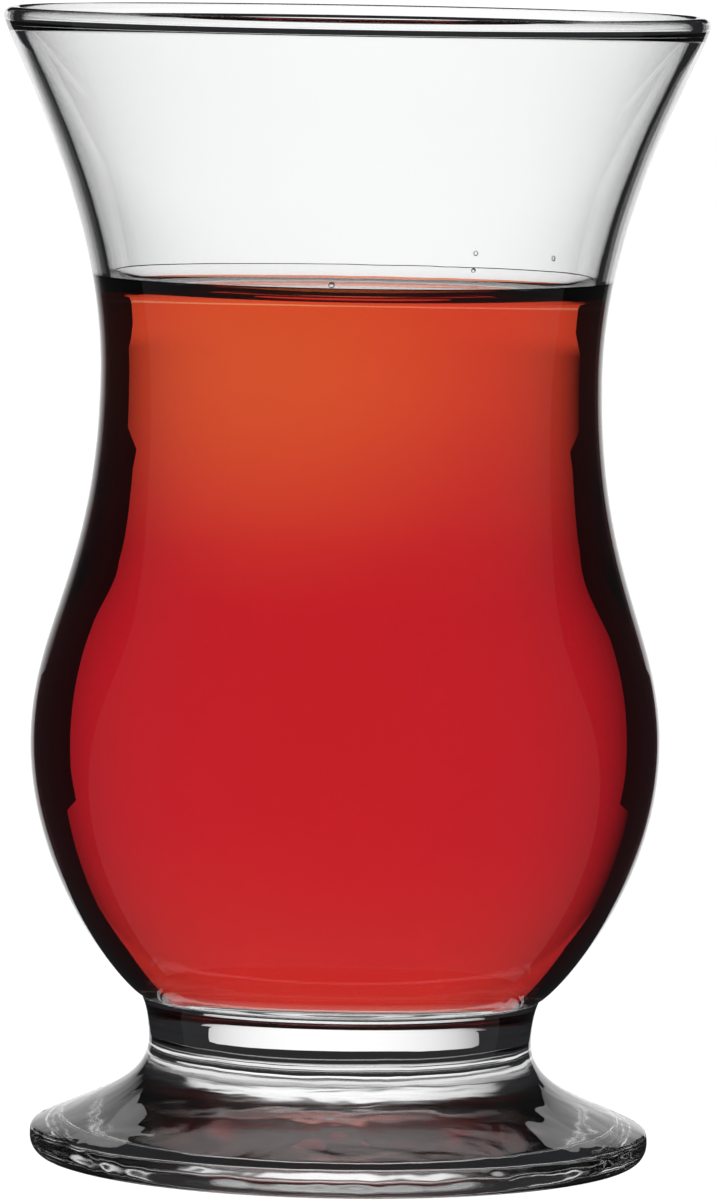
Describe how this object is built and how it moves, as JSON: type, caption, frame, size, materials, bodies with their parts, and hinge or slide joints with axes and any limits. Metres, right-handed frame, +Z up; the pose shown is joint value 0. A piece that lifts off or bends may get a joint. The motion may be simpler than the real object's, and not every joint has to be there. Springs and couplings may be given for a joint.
{
  "type": "turkish tea glass",
  "caption": "Clear waisted tea glass with a flared rim, a rounded belly, a short solid stem and a round foot, filled with red tea to just above the waist.",
  "frame": {"origin": "centre of the foot, on the surface that the glass stands on", "axes": "+Z up along the axis of the glass; the glass is round, so +X and +Y are free"},
  "size_m": [0.0644, 0.0644, 0.105],
  "materials": {
    "clear_glass": "clear, colourless and polished",
    "tea": "clear brewed tea, orange where it is thin and deep red where it is thick"
  },
  "bodies": {
    "root": {"glass": "clear_glass", "tea": "tea"}
  },
  "joints": []
}
